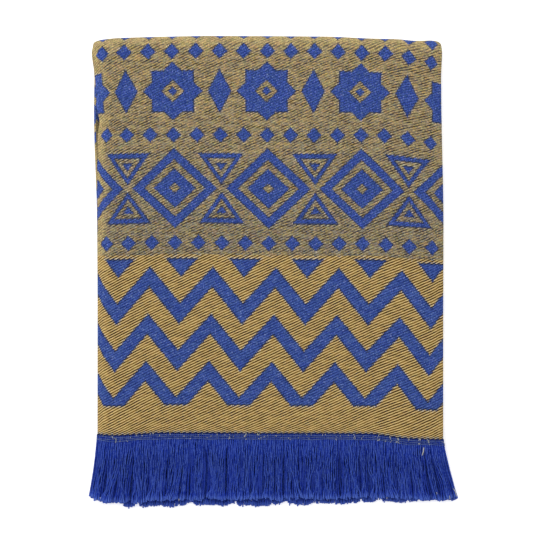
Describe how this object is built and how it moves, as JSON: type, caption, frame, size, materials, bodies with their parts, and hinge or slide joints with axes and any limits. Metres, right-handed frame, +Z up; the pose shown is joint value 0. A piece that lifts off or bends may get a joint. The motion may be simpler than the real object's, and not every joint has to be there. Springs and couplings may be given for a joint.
{
  "type": "peshtemal towel",
  "caption": "Flat-woven cotton towel with a zigzag border and fringed ends, folded into a flat stack that lies with its border and fringe on top.",
  "frame": {"origin": "centre of the box around the folded towel, on the surface that it lies on", "axes": "+Z up, +Y towards the rolled fold away from the fringes, +X to the right of the face that shows, with the fringes at the near side"},
  "size_m": [0.3545, 0.4514, 0.0209],
  "materials": {
    "cloth": "double-faced jacquard cotton, gold with blue figures",
    "fringe": "loose blue cotton warp yarn"
  },
  "bodies": {
    "root": {"towel_cloth": "cloth", "fringe_top": "fringe", "fringe_under": "fringe"}
  },
  "joints": []
}
